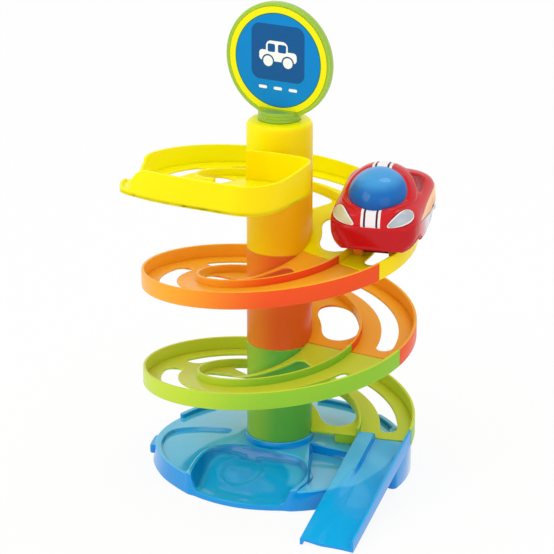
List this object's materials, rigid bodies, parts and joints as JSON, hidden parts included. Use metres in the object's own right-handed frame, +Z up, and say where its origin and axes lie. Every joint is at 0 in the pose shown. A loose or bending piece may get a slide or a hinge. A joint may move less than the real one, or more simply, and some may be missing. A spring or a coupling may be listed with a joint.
{
  "type": "toy spiral car park with car",
  "caption": "Toy spiral car park: stacked two-lane track round a column, launch deck, round sign, base with a parking bay, exit ramp and a free-rolling car.",
  "frame": {"origin": "on the column's axis, in the plane the base stands on", "axes": "+Z up along the column; -Y towards the open side of the parking bay and the printed side of the sign; +X to the right seen from there"},
  "size_m": [0.2635, 0.2601, 0.4212],
  "materials": {
    "blue_plastic": "high gloss, moulded in colour",
    "green_plastic": "satin gloss, moulded in colour",
    "orange_plastic": "satin gloss, moulded in colour",
    "yellow_plastic": "satin gloss, moulded in colour",
    "clear_green_plastic": "see-through tinted plastic, polished",
    "sign_print": "printed label",
    "red_plastic": "high gloss, with printed stripes",
    "blue_glazing": "polished dome",
    "lamp_plastic": "pearl print on gloss plastic",
    "dark_plastic": "fine texture",
    "wheel_plastic": "satin",
    "steel_pin": "plain drawn wire"
  },
  "bodies": {
    "root": {"base_tray": "blue_plastic"},
    "exit_ramp": {"exit_ramp": "blue_plastic"},
    "lower_track": {"lower_track": "green_plastic"},
    "middle_track": {"middle_track": "orange_plastic"},
    "upper_track": {"upper_track": "yellow_plastic"},
    "sign": {"sign_holder": "clear_green_plastic", "sign_label_front": "sign_print", "sign_label_back": "sign_print"},
    "car": {"car_body": "red_plastic", "car_windscreen": "blue_glazing", "headlight_left": "lamp_plastic", "headlight_right": "lamp_plastic", "car_chassis": "dark_plastic", "chassis_screw_front": "steel_pin", "chassis_screw_rear": "steel_pin"},
    "front_axle": {"front_axle": "steel_pin", "wheel_front_left": "wheel_plastic", "wheel_front_right": "wheel_plastic"},
    "rear_axle": {"rear_axle": "steel_pin", "wheel_rear_left": "wheel_plastic", "wheel_rear_right": "wheel_plastic"}
  },
  "joints": [
    {"name": "exit_ramp_lift", "type": "slide", "parent": "root", "child": "exit_ramp", "axis": [0, 0, 1], "range_m": [0, 0.05]},
    {"name": "lower_track_lift", "type": "slide", "parent": "root", "child": "lower_track", "axis": [0, 0, 1], "range_m": [0, 0.03]},
    {"name": "middle_track_lift", "type": "slide", "parent": "lower_track", "child": "middle_track", "axis": [0, 0, 1], "range_m": [0, 0.03]},
    {"name": "upper_track_lift", "type": "slide", "parent": "middle_track", "child": "upper_track", "axis": [0, 0, 1], "range_m": [0, 0.03]},
    {"name": "sign_turn", "type": "hinge", "parent": "upper_track", "child": "sign", "pos_m": [0, 0, 0.31], "axis": [0, 0, 1], "continuous": true},
    {"name": "car_lift", "type": "slide", "parent": "upper_track", "child": "car", "axis": [0, 0, 1], "range_m": [0, 0.06]},
    {"name": "front_axle_spin", "type": "hinge", "parent": "car", "child": "front_axle", "pos_m": [0.09587, -0.00243, 0.22144], "axis": [0.9659, 0.2588, 0], "continuous": true},
    {"name": "rear_axle_spin", "type": "hinge", "parent": "car", "child": "rear_axle", "pos_m": [0.08257, 0.04718, 0.22956], "axis": [0.9659, 0.2588, 0], "continuous": true}
  ]
}
